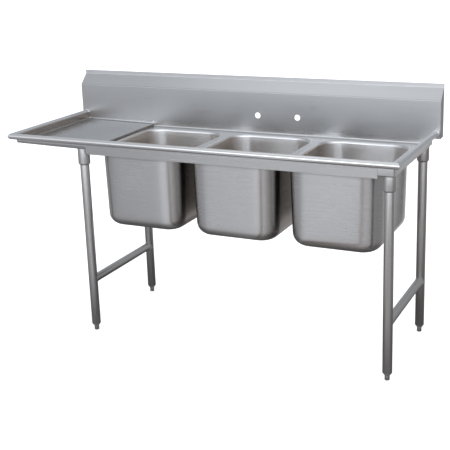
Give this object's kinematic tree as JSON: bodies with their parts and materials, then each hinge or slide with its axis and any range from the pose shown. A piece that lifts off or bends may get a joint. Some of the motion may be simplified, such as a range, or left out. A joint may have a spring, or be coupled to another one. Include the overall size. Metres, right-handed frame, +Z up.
{
  "type": "three compartment sink",
  "caption": "Free-standing stainless steel restaurant sink with deep bowls in a row, a left drainboard, rolled rims, a tall splash with faucet holes, and braced tube legs.",
  "frame": {"origin": "on the floor, in the middle of the overall length and depth", "axes": "+X along the length towards the bowls' end, +Y to the wall behind the splash, +Z up"},
  "size_m": [1.88, 0.686, 1.152],
  "materials": {
    "bowl": "satin, fine level grain",
    "deck": "satin, fine grain along the length",
    "rim": "satin, polished along the roll",
    "splash": "satin, fine grain along the length",
    "channel": "mill finish",
    "leg": "satin tube",
    "socket": "satin",
    "set_screw": "dark oiled steel",
    "foot_insert": "satin",
    "foot": "satin",
    "drain": "polished",
    "gasket": "matt black",
    "washer": "red-brown fibre",
    "locknut": "plain turned",
    "basket": "bright"
  },
  "bodies": {
    "sink": {"backsplash": "splash", "bowl_centre": "bowl", "bowl_deck": "deck", "bowl_left": "bowl", "bowl_right": "bowl", "crossrail_left": "leg", "crossrail_right": "leg", "drain_body_centre": "drain", "drain_body_left": "drain", "drain_body_right": "drain", "drain_gasket_centre": "gasket", "drain_gasket_left": "gasket", "drain_gasket_right": "gasket", "drain_locknut_centre": "locknut", "drain_locknut_left": "locknut", "drain_locknut_right": "locknut", "drain_washer_centre": "washer", "drain_washer_left": "washer", "drain_washer_right": "washer", "drainboard": "deck", "drainboard_stiffener": "channel", "foot_insert_front_left": "foot_insert", "foot_insert_front_right": "foot_insert", "foot_insert_rear_left": "foot_insert", "foot_insert_rear_right": "foot_insert", "front_apron": "rim", "front_rim": "rim", "gusset_front_left": "socket", "gusset_front_right": "socket", "gusset_rear_left": "socket", "gusset_rear_right": "socket", "gusset_set_screws": "set_screw", "left_rim": "rim", "leg_channel_left": "channel", "leg_channel_right": "channel", "leg_front_left": "leg", "leg_front_right": "leg", "leg_rear_left": "leg", "leg_rear_right": "leg", "right_rim": "rim", "splash_end_cap_left": "splash", "splash_end_cap_right": "splash"},
    "foot_front_left": {"foot_front_left": "foot"},
    "foot_front_right": {"foot_front_right": "foot"},
    "foot_rear_left": {"foot_rear_left": "foot"},
    "foot_rear_right": {"foot_rear_right": "foot"},
    "strainer_basket_left": {"strainer_basket_left": "basket"},
    "strainer_basket_centre": {"strainer_basket_centre": "basket"},
    "strainer_basket_right": {"strainer_basket_right": "basket"}
  },
  "joints": [
    {"name": "foot_front_left_adjust", "type": "slide", "parent": "sink", "child": "foot_front_left", "axis": [0, 0, 1], "range_m": [-0.025, 0]},
    {"name": "foot_front_right_adjust", "type": "slide", "parent": "sink", "child": "foot_front_right", "axis": [0, 0, 1], "range_m": [-0.025, 0]},
    {"name": "foot_rear_left_adjust", "type": "slide", "parent": "sink", "child": "foot_rear_left", "axis": [0, 0, 1], "range_m": [-0.025, 0]},
    {"name": "foot_rear_right_adjust", "type": "slide", "parent": "sink", "child": "foot_rear_right", "axis": [0, 0, 1], "range_m": [-0.025, 0]},
    {"name": "strainer_basket_left_lift", "type": "slide", "parent": "sink", "child": "strainer_basket_left", "axis": [0, 0, 1], "range_m": [0, 0.08]},
    {"name": "strainer_basket_centre_lift", "type": "slide", "parent": "sink", "child": "strainer_basket_centre", "axis": [0, 0, 1], "range_m": [0, 0.08]},
    {"name": "strainer_basket_right_lift", "type": "slide", "parent": "sink", "child": "strainer_basket_right", "axis": [0, 0, 1], "range_m": [0, 0.08]}
  ]
}
